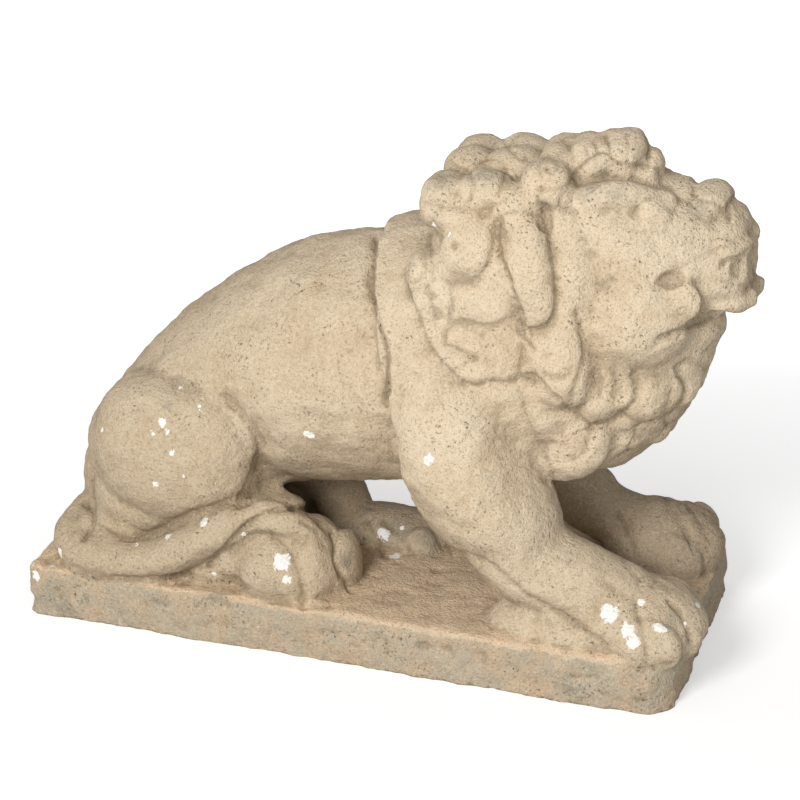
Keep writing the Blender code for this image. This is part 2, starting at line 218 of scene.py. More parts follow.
def lock(clay, root, tip, width, thickness, outward, ribs):
    """Adds a lobe of hair that lies on the mane from root to tip, ribbed along its length."""
    start, end = spot(*root), spot(*tip)
    ahead = (end - start).normalized()
    side = ahead.cross(outward).normalized()
    out = side.cross(ahead).normalized()
    angles = [math.pi * i / (2 * RING_SIDES) for i in range(4 * RING_SIDES)]
    skew = math.log(0.5) / math.log(FULLEST_ALONG)
    rings = []
    for t in np.linspace(*LOCK_ENDS, LOCK_RINGS):
        swell = math.sin(math.pi * t**skew) ** LOCK_FULLNESS
        middle = start.lerp(end, t)
        ring = []
        for a in angles:
            ribbed = 1 + RIB_DEPTH * math.cos(2 * ribs * a)
            across = side * width * UNIT / 2 * swell * math.cos(a)
            ring.append(middle + across + out * thickness * UNIT * swell * ribbed * math.sin(a))
        rings.append(ring)
    skin(clay, rings)


def mesh_of(clay, name):
    mesh = bpy.data.meshes.new(name)
    clay.to_mesh(mesh)
    clay.free()
    return mesh


def finished(mesh, name, *modifiers):
    """The mesh after the modifiers, each given as (type, settings)."""
    obj = bpy.data.objects.new(name, mesh)
    bpy.context.scene.collection.objects.link(obj)
    for kind, settings in modifiers:
        modifier = obj.modifiers.new(kind.title(), kind)
        for setting, value in settings.items():
            setattr(modifier, setting, value)
    graph = bpy.context.evaluated_depsgraph_get()
    result = bpy.data.meshes.new_from_object(obj.evaluated_get(graph))
    bpy.data.objects.remove(obj)
    return result


def fused(mesh, name, voxel, smoothing):
    """One skin round everything in the mesh, its joins softened."""
    return finished(
        mesh,
        name,
        ("REMESH", {"mode": "VOXEL", "voxel_size": voxel}),
        ("SMOOTH", {"factor": 0.5, "iterations": smoothing}),
    )


def joined(*meshes):
    clay = bmesh.new()
    for mesh in meshes:
        clay.from_mesh(mesh)
    return mesh_of(clay, "joined")


def hindquarters():
    """The barrel of the body with the haunches and the hind legs."""
    clay = bmesh.new()
    stations = [
        (-372, 74, 36, 46),
        (-356, 84, 78, 84),
        (-306, 118, 112, 112),
        (-236, 171, 132, 120),
        (-166, 210, 144, 124),
        (-96, 242, 152, 128),
        (-25, 258, 154, 130),
        (60, 270, 154, 130),
        (150, 278, 137, 118),
    ]
    barrel(clay, along(stations, BARREL_STEPS))
    for side in (NEAR, FAR):
        lump(clay, (-234, side * 84, 140), (112, 66, 100))
        lump(clay, (-300, side * 92, 26), (74, 56, 44))
    lump(clay, (-176, -106, 22), (70, 46, 44))
    lump(clay, (-150, 92, 26), (70, 46, 48))
    limb(clay, [(-210, -92, 56, 44), (-150, -98, 58, 42), (-96, -88, 66, 38)])
    limb(clay, [(-170, 90, 96, 50), (-118, 84, 72, 44), (-92, 78, 46, 38), (-66, 66, 14, 30)])
    return fused(mesh_of(clay, "hindquarters"), "hindquarters", ROUGH_VOXEL, 8)


def forequarters():
    """The chest and shoulders, which stand a step proud of the barrel, with the forelegs."""
    clay = bmesh.new()
    stations = [
        (-10, 272, 160, 138),
        (50, 282, 160, 141),
        (110, 290, 158, 142),
        (170, 292, 154, 134),
        (235, 290, 138, 114),
        (285, 280, 108, 84),
        (312, 272, 56, 44),
    ]
    barrel(clay, along(stations, BARREL_STEPS))
    near_leg = [
        (112, -88, 262, 74),
        (122, -96, 206, 76),
        (153, -100, 156, 73),
        (185, -102, 120, 65),
        (216, -103, 74, 54),
        (286, -100, 50, 48),
        (336, -98, 32, 44),
    ]
    far_leg = [
        (112, 88, 262, 72),
        (126, 96, 206, 70),
        (156, 100, 154, 64),
        (186, 102, 112, 54),
        (216, 103, 74, 44),
        (256, 102, 42, 38),
        (300, 100, 32, 36),
    ]
    limb(clay, near_leg)
    limb(clay, far_leg)
    lump(clay, (344, -98, 18), (80, 66, 48))
    lump(clay, (330, 98, 18), (76, 62, 54))
    lump(clay, (262, -112, 2), (96, 50, 28))
    return fused(mesh_of(clay, "forequarters"), "forequarters", ROUGH_VOXEL, 7)


def behind_the_shoulder(mesh):
    """Cuts the forequarters off along the slanting line behind the shoulder."""
    clay = bmesh.new()
    clay.from_mesh(mesh)
    everything = clay.verts[:] + clay.edges[:] + clay.faces[:]
    lean = Vector((1, 0, 0.25)).normalized()
    cut = bmesh.ops.bisect_plane(
        clay, geom=everything, plane_co=spot(50, 0, 280), plane_no=lean, clear_inner=True
    )
    rim = [item for item in cut["geom_cut"] if isinstance(item, bmesh.types.BMEdge)]
    bmesh.ops.contextual_create(clay, geom=rim)
    return mesh_of(clay, "forequarters")


def head():
    """The skull and the broad flat cheeks, running straight out into the muzzle."""
    clay = bmesh.new()
    stations = [
        (200, 444, 84, 100),
        (258, 444, 90, 104),
        (305, 440, 90, 98),
        (350, 432, 80, 84),
        (392, 428, 66, 66),
        (418, 428, 50, 52),
        (432, 430, 32, 36),
    ]
    barrel(clay, along(stations, BARREL_STEPS), squareness=2.2)
    return fused(mesh_of(clay, "head"), "head", CARVING_VOXEL, 5)


def on_side(side, x, y, z):
    """A place on the near or the far side. The crown falls away a little on the far side."""
    if side == FAR:
        z -= FAR_CROWN_FALL * max(z - FAR_CROWN_FROM, 0)
    return (x, side * y, z)


def face(clay):
    """The brows, eyes, nose and lips."""
    for side in (NEAR, FAR):
        brow = [(238, 74, 500, 14), (292, 64, 512, 17), (342, 44, 503, 13)]
        limb(clay, [(*on_side(side, *row[:3]), row[3]) for row in brow])
        lump(clay, on_side(side, 324, 60, 494), (26, 16, 16))
        lump(clay, (330, side * 78, 404), (62, 14, 40))
        limb(clay, [(384, side * 46, 458, 13), (410, side * 40, 455, 14), (424, side * 20, 456, 14)])
        limb(clay, [(384, side * 50, 396, 8), (408, side * 42, 392, 11), (434, side * 20, 395, 11)])
    lump(clay, (346, 0, 503), (22, 34, 13))
    lump(clay, (383, 0, 497), (25, 36, 20))
    lump(clay, (397, 0, 460), (32, 46, 34), squareness=2.4)
    lump(clay, (402, 0, 393), (40, 42, 17), squareness=2.6)


def mane_mass():
    """The bulk of the hair, under its locks."""
    clay = bmesh.new()
    lump(clay, (160, 0, 416), (84, 126, 104), squareness=2.7)
    lump(clay, (216, 0, 400), (92, 122, 122), squareness=2.7)
    lump(clay, (170, 0, 348), (74, 126, 70), squareness=2.7)
    lump(clay, RUFF_CENTRE, RUFF_RADII)
    lump(clay, (262, 0, 228), (78, 84, 66))
    lump(clay, (350, 0, 352), (58, 54, 42))
    for side in (NEAR, FAR):
        lump(clay, (300, side * 66, 378), (82, 44, 72))
        lump(clay, on_side(side, 124, 84, 480), (38, 36, 30))
        lump(clay, (112, side * 92, 392), (30, 32, 60))
    return fused(mesh_of(clay, "mane"), "mane", ROUGH_VOXEL, 4)


def from_core(x, y, z):
    """The way out of the mane at a point, away from a line through the middle of the neck."""
    share = min(max((CORE_Z - z) / CORE_FALL, 0), 1)
    core = Vector((CORE_X + CORE_FORWARD * share, 0, CORE_Z - CORE_FALL * share))
    return (Vector((x, y, z)) - core).normalized()


def ruff_point(turn, drop, share):
    """A point of the ruff: turn in degrees from straight ahead, drop below level, share of its size."""
    a, d = math.radians(turn), math.radians(drop)
    way = (math.cos(a) * math.cos(d), math.sin(a) * math.cos(d), -math.sin(d))
    return tuple(c + share * r * w for c, r, w in zip(RUFF_CENTRE, RUFF_RADII, way))


def ruff(clay):
    """Two rows of hanging scallops round the throat and chest, lapped like tiles."""
    rows = [
        # locks, spread, top, bottom, width, thickness, ribs
        (6, 80, -8, 37, 78, 22, 2),
        (4, 54, 32, 60, 72, 22, 2),
    ]
    for count, spread, top, bottom, width, thickness, ribs in rows:
        for i in range(count):
            turn = -spread + 2 * spread * i / (count - 1)
            root = ruff_point(turn, top, ROOT_DEPTH)
            tip = ruff_point(turn * TIP_TURN, bottom, TIP_DEPTH)
            middle = [(a + b) / 2 for a, b in zip(root, tip)]
            lock(clay, root, tip, width, thickness, from_core(*middle), ribs)


def mane_locks(clay):
    """The large worn lobes and curls beside and behind the head."""
    lobes = [
        # centre, radii, lean in degrees
        ((141, 104, 446), (37, 24, 41), 4),
        ((160, 106, 386), (42, 25, 34), 0),
        ((158, 104, 326), (54, 26, 40), 10),
        ((210, 106, 422), (28, 26, 68), -9),
        ((242, 102, 324), (37, 28, 52), -14),
        ((238, 80, 234), (58, 22, 62), -20),
        ((82, 94, 410), (20, 26, 24), 0),
        ((91, 100, 368), (20, 26, 32), -14),
        ((101, 76, 489), (27, 34, 34), 0),
        ((146, 78, 503), (31, 30, 28), 0),
        ((217, 76, 520), (29, 28, 28), 0),
        ((182, 86, 492), (28, 28, 28), 0),
    ]
    for side in (NEAR, FAR):
        for centre, radii, lean in lobes:
            lump(clay, on_side(side, *centre), radii, turned(pitch=lean), squareness=2.4)
        lump(clay, (114, side * 24, 514), (30, 32, 24))
        lump(clay, (166, side * 22, 520), (36, 34, 22))


def crest(clay):
    """The heavy fringe that stands over the brow, lock beside lock."""
    fringe = [
        # centre, radii
        ((222, 34, 536), (26, 42, 20)),
        ((250, 30, 541), (24, 34, 24)),
        ((282, 22, 546), (30, 32, 24)),
        ((311, 14, 530), (18, 26, 18)),
    ]
    for side in (NEAR, FAR):
        for centre, radii in fringe:
            lump(clay, on_side(side, *centre), radii, turned(roll=-side * 20), squareness=2.8)


def toes(clay, x, y, z, count, spread, length, height):
    """A row of toes across a paw, the outer ones set back."""
    for i in range(count):
        across = -1 + 2 * i / (count - 1)
        back = OUTER_TOE_SET_BACK * across**2
        lump(clay, (x - back, y + spread * across, z), (length, TOE_HALF_WIDTH, height))


def paws(clay):
    """The toes, and the bulk of the haunches, the near thigh and the hind paws."""
    toes(clay, 384, -100, 14, FORE_TOES, 52, 38, 34)
    toes(clay, 368, 99, 18, FORE_TOES, 48, 36, 36)
    for side in (NEAR, FAR):
        lump(clay, (-226, side * 88, 150), (106, 70, 94), squareness=2.5)
    lump(clay, (-264, -84, 78), (78, 56, 60))
    lump(clay, (-86, -100, 22), (78, 62, 62))
    lump(clay, (-98, -134, 22), (40, 32, 44))
    lump(clay, (-48, -116, 26), (28, 36, 50))
    lump(clay, (-22, -84, 20), (22, 36, 42))
    lump(clay, (0, 50, 4), (86, 44, 28))
    toes(clay, 56, 48, 6, HIND_TOES, 30, 26, 20)


def tail(clay):
    """From behind the rump, round the near haunch along the plinth, and up into the flank."""
    route = [
        (-326, -40, 60, 20),
        (-350, -76, 40, 23),
        (-360, -112, 24, 25),
        (-340, -140, 16, 25),
        (-292, -148, 14, 25),
        (-238, -146, 22, 25),
        (-192, -142, 46, 25),
        (-150, -136, 76, 24),
        (-122, -128, 90, 21),
        (-96, -127, 93, 19),
        (-68, -122, 84, 17),
        (-44, -116, 64, 13),
    ]
    limb(clay, route, steps=3)


def plinth():
    """The slab, with worn corners and edges, reaching below the cut of the underside."""
    clay = bmesh.new()
    x, y = PLINTH_LENGTH / 2, PLINTH_WIDTH / 2
    corners = [
        (x, -y, HEAD_END_NEAR_CORNER, -90),
        (x, y, HEAD_END_FAR_CORNER, 0),
        (-x, y, TAIL_END_FAR_CORNER, 90),
        (-x, -y, TAIL_END_NEAR_CORNER, 180),
    ]
    rim = []
    for cx, cy, radius, start in corners:
        mx, my = cx - math.copysign(radius, cx), cy - math.copysign(radius, cy)
        for step in range(CORNER_STEPS + 1):
            a = math.radians(start + 90 / CORNER_STEPS * step)
            point = (mx + radius * math.cos(a), my + radius * math.sin(a), -SAWN_OFF_BELOW)
            rim.append(clay.verts.new(point))
    base = clay.faces.new(rim)
    top = bmesh.ops.extrude_face_region(clay, geom=[base])["geom"]
    lifted = [item for item in top if isinstance(item, bmesh.types.BMVert)]
    bmesh.ops.translate(clay, vec=(0, 0, PLINTH_HEIGHT + SAWN_OFF_BELOW), verts=lifted)
    edges = [edge for edge in clay.edges if all(vert in lifted for vert in edge.verts)]
    bmesh.ops.bevel(clay, geom=edges, offset=EDGE_WEAR, segments=3, profile=0.5, affect="EDGES")
    bmesh.ops.recalc_face_normals(clay, faces=clay.faces)
    return mesh_of(clay, "plinth")


def hollows():
    """What is cut out: the mouth, the lips' corners, under the jaw, the ears and a lost edge."""
    clay = bmesh.new()
    for side in (NEAR, FAR):
        lump(clay, (466, side * 46, 441), (48, 30, 15), turned(yaw=-side * 30, pitch=-10), squareness=5)
        lump(clay, (363, side * 92, 433), (27, 19, 11), turned(pitch=-18))
        under_jaw = [(412, 30, 376, 15), (403, 54, 374, 14), (394, 62, 370, 8)]
        limb(clay, [(x, side * y, z, radius) for x, y, z, radius in under_jaw])
        lump(clay, (221, side * 104, 492), (10, 14, 17))
    edge = PLINTH_WIDTH / 2 / UNIT
    reach = EDGE_BREAK_DEPTH / UNIT + EDGE_BREAK_SPARE
    middle = (EDGE_BREAK_MIDDLE / UNIT, edge + EDGE_BREAK_SPARE, -EDGE_BREAK_SPARE)
    lump(clay, middle, (EDGE_BREAK_LENGTH / 2 / UNIT, reach, EDGE_BREAK_TALL), squareness=4)
    return fused(mesh_of(clay, "hollows"), "hollows", FINE_VOXEL, 1)


def cut(mesh, cutter):
    """The stone with the cutter's shape taken out."""
    tool = bpy.data.objects.new("cutter", cutter)
    bpy.context.scene.collection.objects.link(tool)
    result = finished(mesh, "cut", ("BOOLEAN", {"operation": "DIFFERENCE", "object": tool}))
    bpy.data.objects.remove(tool)
    return result


def biggest_skin(mesh):
    """Leaves out any pocket sealed inside the stone."""
    clay = bmesh.new()
    clay.from_mesh(mesh)
    left = set(clay.verts)
    skins = []
    while left:
        found, ahead = set(), [left.pop()]
        while ahead:
            vert = ahead.pop()
            found.add(vert)
            new = {edge.other_vert(vert) for edge in vert.link_edges} & left
            left -= new
            ahead.extend(new)
        skins.append(found)
    skins.sort(key=len)
    for skin_verts in skins[:-1]:
        bmesh.ops.delete(clay, geom=list(skin_verts), context="VERTS")
    return mesh_of(clay, "stone")


def flat_below(mesh):
    """Saws the underside flat."""
    clay = bmesh.new()
    clay.from_mesh(mesh)
    everything = clay.verts[:] + clay.edges[:] + clay.faces[:]
    sawn = bmesh.ops.bisect_plane(
        clay, geom=everything, plane_co=(0, 0, 0), plane_no=(0, 0, -1), clear_outer=True
    )["geom_cut"]
    rim = [item for item in sawn if isinstance(item, bmesh.types.BMEdge)]
    bmesh.ops.contextual_create(clay, geom=rim)
    bmesh.ops.triangulate(clay, faces=clay.faces)
    return mesh_of(clay, "stone")


def camera_axes():
    """The camera's right, up and backward directions."""
    a, e = math.radians(CAMERA_AZIMUTH), math.radians(CAMERA_ELEVATION)
    back = Vector((math.sin(a) * math.cos(e), -math.cos(a) * math.cos(e), math.sin(e)))
    right = Vector((math.cos(a), math.sin(a), 0))
    return right, back.cross(right), back


def camera_eye():
    return CAMERA_TARGET + camera_axes()[2] * CAMERA_DISTANCE


def place_camera():
    right, up, back = camera_axes()
    data = bpy.data.cameras.new("camera")
    data.lens = CAMERA_LENS_MM
    data.sensor_width = CAMERA_FILM_MM
    camera = bpy.data.objects.new("camera", data)
    turn = Matrix((right, up, back)).transposed().to_4x4()
    camera.matrix_world = Matrix.Translation(camera_eye()) @ turn
    bpy.context.scene.collection.objects.link(camera)
    bpy.context.scene.camera = camera


# How far a chisel line reaches, in its own widths, and how steeply its sides fall
CHISEL_REACH = 3
CHISEL_CURVE = 1.7


class Stone:
    """The carved mesh as arrays: its points, their outward directions and the edges between them."""

    def __init__(self, mesh):
        self.mesh = mesh
        self.points = np.empty(len(mesh.vertices) * 3)
        mesh.vertices.foreach_get("co", self.points)
        self.points = self.points.reshape(-1, 3)
        ends = np.empty(len(mesh.edges) * 2, int)
        mesh.edges.foreach_get("vertices", ends)
        self.ends = ends.reshape(-1, 2)
        self.neighbours = np.bincount(self.ends.ravel(), minlength=len(self.points))
        corners = [tuple(polygon.vertices) for polygon in mesh.polygons]
        self.tree = BVHTree.FromPolygons(self.points.tolist(), corners)
        self.turn_out()

    def turn_out(self):
        """Brings the mesh and the outward directions up to date."""
        self.mesh.vertices.foreach_set("co", self.points.ravel())
        self.mesh.update()
        out = np.empty(len(self.points) * 3)
        self.mesh.vertex_normals.foreach_get("vector", out)
        self.out = out.reshape(-1, 3)

    def averaged(self, values, rounds):
        """The values, each moved halfway to its neighbours' average, so many times."""
        a, b = self.ends.T
        for _ in range(rounds):
            near = np.empty_like(values)
            for column, v in enumerate(values.T):
                total = np.bincount(a, v[b], len(v)) + np.bincount(b, v[a], len(v))
                near[:, column] = total / self.neighbours
            values = (values + near) / 2
        return values

    def hollowness(self, rounds):
        """How far each point lies below the stone around it, in metres. A ridge is below zero."""
        return ((self.averaged(self.points, rounds) - self.points) * self.out).sum(axis=1)

    def seen_at(self, px, py):
        """The place on the stone at a point of the photograph's frame, or None beside the stone."""
        right, up, back = camera_axes()
        scale = CAMERA_FILM_MM / CAMERA_LENS_MM / PHOTO_SIDE
        across, above = px - PHOTO_SIDE / 2, PHOTO_SIDE / 2 - py
        way = (right * across * scale + up * above * scale - back).normalized()
        return self.tree.ray_cast(camera_eye(), way)[0]

    def laid(self, places):
        """The line on the stone under a line drawn on the photograph's frame."""
        drawn = along(places, LINE_STEPS) if len(places) > 1 else places
        return [place for place in (self.seen_at(px, py) for px, py in drawn) if place]

    def mirrored(self, line):
        """The same line on the other side of the figure."""
        return [self.tree.find_nearest((place.x, -place.y, place.z))[0] for place in line]

    def beside(self, line, reach):
        """The points within reach of a line, how far off they are, and whether to its left."""
        line = np.array(line)
        low, high = line.min(axis=0) - reach, line.max(axis=0) + reach
        near = np.flatnonzero(((self.points > low) & (self.points < high)).all(axis=1))
        points, out = self.points[near], self.out[near]
        gap, left = np.full(len(near), np.inf), np.zeros(len(near), bool)
        for start, end in zip(line, line[1:] if len(line) > 1 else line):
            run = end - start
            length = max(run @ run, 1e-12)
            t = ((points - start) @ run / length).clip(0, 1)
            off = points - start - np.multiply.outer(t, run)
            distance = np.sqrt((off**2).sum(axis=1))
            closer = distance < gap
            gap[closer] = distance[closer]
            left[closer] = ((off * np.cross(out, run)).sum(axis=1) > 0)[closer]
        return near, gap, left

    def chisel(self, lines, strength, both_sides):
        """Cuts the lines, each with its own width on the left and on the right of its way."""
        for left_width, right_width, depth, places in lines.values():
            line = self.laid(places)
            ways = [(line, left_width, right_width)]
            if both_sides:
                ways.append((self.mirrored(line), right_width, left_width))
            for way, on_left, on_right in ways:
                if not way:
                    continue
                near, gap, left = self.beside(way, CHISEL_REACH * MM * max(on_left, on_right))
                width = np.where(left, on_left, on_right) * MM
                sunk = strength * depth * MM * np.exp(-((gap / width) ** CHISEL_CURVE))
                self.points[near] -= self.out[near] * sunk[:, None]
        self.turn_out()


def noise_at(points, size, seed):
    """Smooth noise about zero, its lumps of the given size in metres."""
    shift = Vector((seed * 7.3, seed * 3.1, seed * 5.7))
    return np.array([noise.noise(Vector(point) / size + shift) for point in points])


def smoothstep(values, start, end):
    t = ((values - start) / (end - start)).clip(0, 1)
    return t * t * (3 - 2 * t)


# Lines cut by the chisel. Each has its width in millimetres on the left and on the right of
# its way, its depth, and its places on the photograph's 800 by 800 frame. A narrow width
# leaves a sharp edge, and a wide one runs out softly.
BODY_LINES = {
    "behind the shoulder": (2.5, 8, 8, [
        (377, 236), (374, 262), (374, 300), (379, 325), (387, 350), (387, 378), (387, 402),
    ]),
    "below the shoulder": (10, 14, 3, [(387, 402), (388, 430), (392, 465)]),
    "above the haunch": (16, 12, 3, [(172, 380), (200, 388), (228, 408)]),
    "haunch edge": (16, 3, 8, [
        (226, 404), (242, 418), (253, 437), (257, 455), (254, 474), (248, 487), (240, 498),
    ]),
    "flank": (14, 14, 4, [(262, 470), (285, 478), (300, 480)]),
}
TAIL_LINES = {
    "haunch over tail": (7, 5, 5, [
        (99, 524), (118, 535), (140, 538), (162, 530), (185, 517), (212, 508), (244, 500),
    ]),
    "beside the tail root": (6, 5, 7, [(84, 502), (92, 512), (92, 524), (84, 538)]),
    "tail on plinth": (4, 12, 3.5, [
        (60, 563), (74, 573), (95, 579), (130, 579), (167, 576), (208, 567),
    ]),
    "tail over paw": (3.5, 9, 7, [
        (208, 566), (216, 555), (228, 544), (241, 533), (250, 523), (262, 513), (285, 507),
        (312, 508),
    ]),
}
HIND_PAW_LINES = {
    "big toe": (6, 5, 4, [(272, 536), (285, 546), (293, 560), (299, 576), (302, 592), (302, 606)]),
    "second toe": (4, 4, 3, [(302, 522), (316, 530), (324, 544)]),
    "outer toe": (4, 4, 5, [(331, 533), (335, 545), (336, 560), (342, 576), (351, 592)]),
    "paw's foot": (5, 8, 3, [
        (222, 577), (240, 585), (258, 595), (278, 601), (300, 606), (330, 606),
    ]),
}
FORE_PAW_LINES = {
    "under the foreleg": (4, 9, 4, [
        (453, 547), (480, 560), (500, 573), (520, 589), (545, 605), (572, 620), (600, 640),
    ]),
    "inner toes": (6, 6, 4, [(634, 604), (640, 626), (644, 645), (646, 662)]),
    "outer toes": (5, 4, 5, [(668, 600), (679, 612), (686, 624), (690, 640)]),
    "knuckle": (6, 6, 2.2, [(600, 578), (612, 587), (626, 597), (638, 601)]),
    "swirl": (4, 4, 2.2, [(640, 588), (640, 579), (648, 575), (656, 579), (652, 586)]),
}
FAR_PAW_LINES = {
    "far shin": (8, 8, 5, [(618, 515), (625, 530), (632, 545)]),
    "far toes": (6, 6, 4, [(664, 497), (676, 512), (686, 530), (696, 548)]),
    "far outer toes": (6, 6, 4, [(690, 503), (702, 520), (710, 540)]),
    "far hind toes": (5, 5, 4, [(384, 520), (398, 535), (410, 552)]),
    "far hind outer toes": (5, 5, 4, [(366, 520), (376, 536), (384, 556)]),
}
MANE_LINES = {
    "mane edge": (3, 9, 5, [
        (410, 262), (408, 284), (414, 302), (421, 320), (427, 338), (436, 353), (450, 368),
        (463, 381),
    ]),
    "mane foot": (3, 10, 6, [
        (463, 381), (476, 384), (492, 380), (508, 381), (521, 377), (533, 378),
    ]),
    "over the breast lock": (3, 10, 6, [
        (533, 378), (548, 392), (562, 404), (577, 413), (591, 425),
    ]),
    "oblong lock front": (10, 3, 7, [
        (543, 216), (548, 232), (551, 252), (554, 275), (555, 298), (554, 312), (550, 321),
        (542, 328), (530, 330),
    ]),
    "oblong lock back": (4, 8, 7, [
        (501, 222), (500, 240), (503, 258), (509, 272), (514, 288), (517, 304), (520, 318),
        (524, 330),
    ]),
    "upper lobe": (9, 4, 5, [
        (495, 220), (493, 240), (490, 256), (484, 269), (474, 280), (460, 283), (446, 282),
        (438, 272),
    ]),
    "rough hollow": (8, 8, 4, [
        (438, 212), (430, 232), (431, 256), (434, 280), (431, 300), (437, 316),
    ]),
    "small back lobe": (4, 4, 3, [(424, 250), (426, 266), (420, 280), (411, 284)]),
    "middle lobe back": (4, 6, 3, [(446, 286), (451, 300), (449, 314), (448, 328)]),
    "middle lobe foot": (4, 6, 5, [(455, 322), (472, 326), (490, 327), (505, 322), (516, 312)]),
    "swirl": (3, 3, 4, [(446, 344), (446, 332), (453, 325), (462, 322), (472, 324)]),
    "inside the swirl": (3, 4, 4, [(449, 344), (459, 349), (468, 353), (476, 358)]),
    "swirl foot": (3, 3, 2.5, [(452, 370), (462, 366), (471, 360), (477, 352)]),
    "low lobe front": (3, 3, 5, [(519, 332), (526, 340), (533, 349)]),
    "low lobe edge": (4, 5, 4, [(521, 346), (522, 358), (519, 370), (516, 380)]),
    "lock before the ear lock": (9, 3, 5, [
        (575, 312), (578, 330), (583, 350), (582, 362), (577, 378), (572, 392), (569, 403),
    ]),
    "lock's inner edge": (4, 4, 2.5, [(543, 372), (553, 380), (566, 376), (574, 366)]),
    "curl front": (4, 3, 4, [(571, 168), (573, 177), (568, 187), (562, 197), (560, 206)]),
    "curl foot": (3, 5, 3.5, [(538, 188), (548, 190), (558, 190), (566, 186)]),
    "round the curl": (3, 3, 2.5, [
        (541, 176), (539, 166), (545, 158), (554, 158), (558, 166), (553, 173), (547, 170),
    ]),
    "ear": (6, 4, 5, [(541, 191), (538, 199), (540, 208), (545, 216)]),
    "top knob": (4, 3, 4, [(480, 163), (491, 160), (501, 162), (505, 172), (503, 184), (498, 194)]),
    "between back curls": (4, 4, 5, [(449, 160), (459, 166), (469, 172), (473, 184), (470, 198)]),
    "between crown curls": (4, 4, 4, [(501, 134), (505, 144), (514, 152), (526, 158)]),
    "under the back curls": (6, 7, 4, [
        (424, 203), (440, 206), (458, 208), (478, 210), (494, 206), (508, 198),
    ]),
    "above the oblong lock": (6, 5, 3, [(500, 216), (512, 212), (526, 212), (538, 216)]),
}
CREST_LINES = {
    "under the crest": (3, 10, 7, [
        (574, 176), (582, 165), (592, 157), (604, 153), (614, 160), (626, 167), (646, 165),
        (660, 170),
    ]),
    "first flute": (2.5, 2.5, 4, [(585, 146), (588, 154), (586, 164)]),
    "second flute": (2.5, 2.5, 4, [(594, 142), (597, 150), (595, 159)]),
    "third flute": (3, 3, 5.5, [(604, 134), (609, 146), (610, 160)]),
    "block's groove": (3, 3, 3, [(626, 134), (628, 148), (626, 164)]),
    "front lock": (3, 3, 5.5, [(645, 136), (649, 150), (649, 166)]),
    "crest back": (4, 4, 4, [(563, 138), (570, 150), (574, 162)]),
}
FACE_LINES = {
    "eye": (9, 9, 6, [(634, 211), (640, 204), (648, 199), (660, 196)]),
    "under the eye": (6, 6, 2, [(640, 220), (652, 219), (662, 212)]),
    "beside the nose": (4, 4, 4, [(692, 186), (695, 197), (704, 202), (716, 204), (724, 212)]),
    "nostril": (3.5, 3.5, 6, [(736, 193), (731, 201), (729, 210), (730, 219)]),
    "lip line": (2.5, 3, 3, [(676, 269), (690, 262), (706, 254), (720, 247), (732, 246)]),
    "under the lip": (2, 3, 4, [(723, 264), (732, 260), (742, 257), (751, 251), (756, 246)]),
    "chin": (3, 6, 3, [(722, 280), (735, 284), (748, 288)]),
    "jaw": (3, 8, 8, [(662, 338), (676, 333), (688, 329), (699, 323), (712, 318)]),
    "cheek fold": (12, 12, 2.5, [(600, 205), (618, 222), (640, 232), (668, 232)]),
}
RUFF_LINES = {
    "first scallop": (3, 13, 7, [
        (591, 426), (602, 422), (616, 416), (627, 409), (634, 399), (635, 388), (632, 378),
    ]),
    "second scallop": (3, 13, 7, [
        (635, 426), (646, 422), (658, 418), (669, 413), (677, 407), (683, 397), (684, 387),
        (679, 377),
    ]),
    "third scallop": (3, 12, 6, [(675, 412), (685, 408), (694, 402), (701, 392), (706, 380)]),
    "throat fold": (4, 7, 3, [(680, 366), (690, 362), (701, 366), (709, 374)]),
    "flute one": (4, 4, 2, [(598, 371), (600, 384), (600, 398)]),
    "flute two": (4, 4, 2, [(612, 370), (615, 383), (614, 400)]),
    "flute three": (4, 4, 1.4, [(655, 376), (659, 390), (656, 406)]),
    "flute four": (4, 4, 1.4, [(668, 372), (672, 386), (669, 400)]),
    "low first": (6, 6, 4, [(589, 430), (587, 443), (581, 454), (573, 460)]),
    "low second": (4, 3, 5, [(635, 430), (634, 440), (629, 450), (622, 457), (614, 461)]),
    "low third": (4, 3, 4, [(664, 420), (667, 428), (662, 438)]),
    "breast lock back": (8, 12, 4, [(520, 392), (527, 415), (537, 438), (549, 462), (554, 478)]),
}
PITS = {
    "upper lobe pit": (5, 5, 6, [(453, 247)]),
    "curl pit": (4.5, 4.5, 6, [(547, 166)]),
    "mouth pit": (4, 4, 4, [(724, 265)]),
    "back pit": (4, 4, 3, [(433, 297)]),
    "lip corner": (7, 7, 4, [(668, 287), (680, 281)]),
    "plinth pit": (4, 4, 5, [(636, 700), (643, 701)]),
    "leg pit": (3, 3, 2.5, [(512, 528)]),
    "plinth chip": (8, 8, 6, [(30, 590), (34, 604)]),
}
EDGE_CHIPS = {
    "tail corner": (9, 9, 6, [(50, 557), (40, 566), (30, 580)]),
    "near edge one": (7, 7, 4, [(208, 600), (226, 604)]),
    "near edge two": (8, 8, 4, [(420, 646), (446, 650)]),
    "near corner": (9, 9, 4, [(640, 672), (668, 668)]),
}

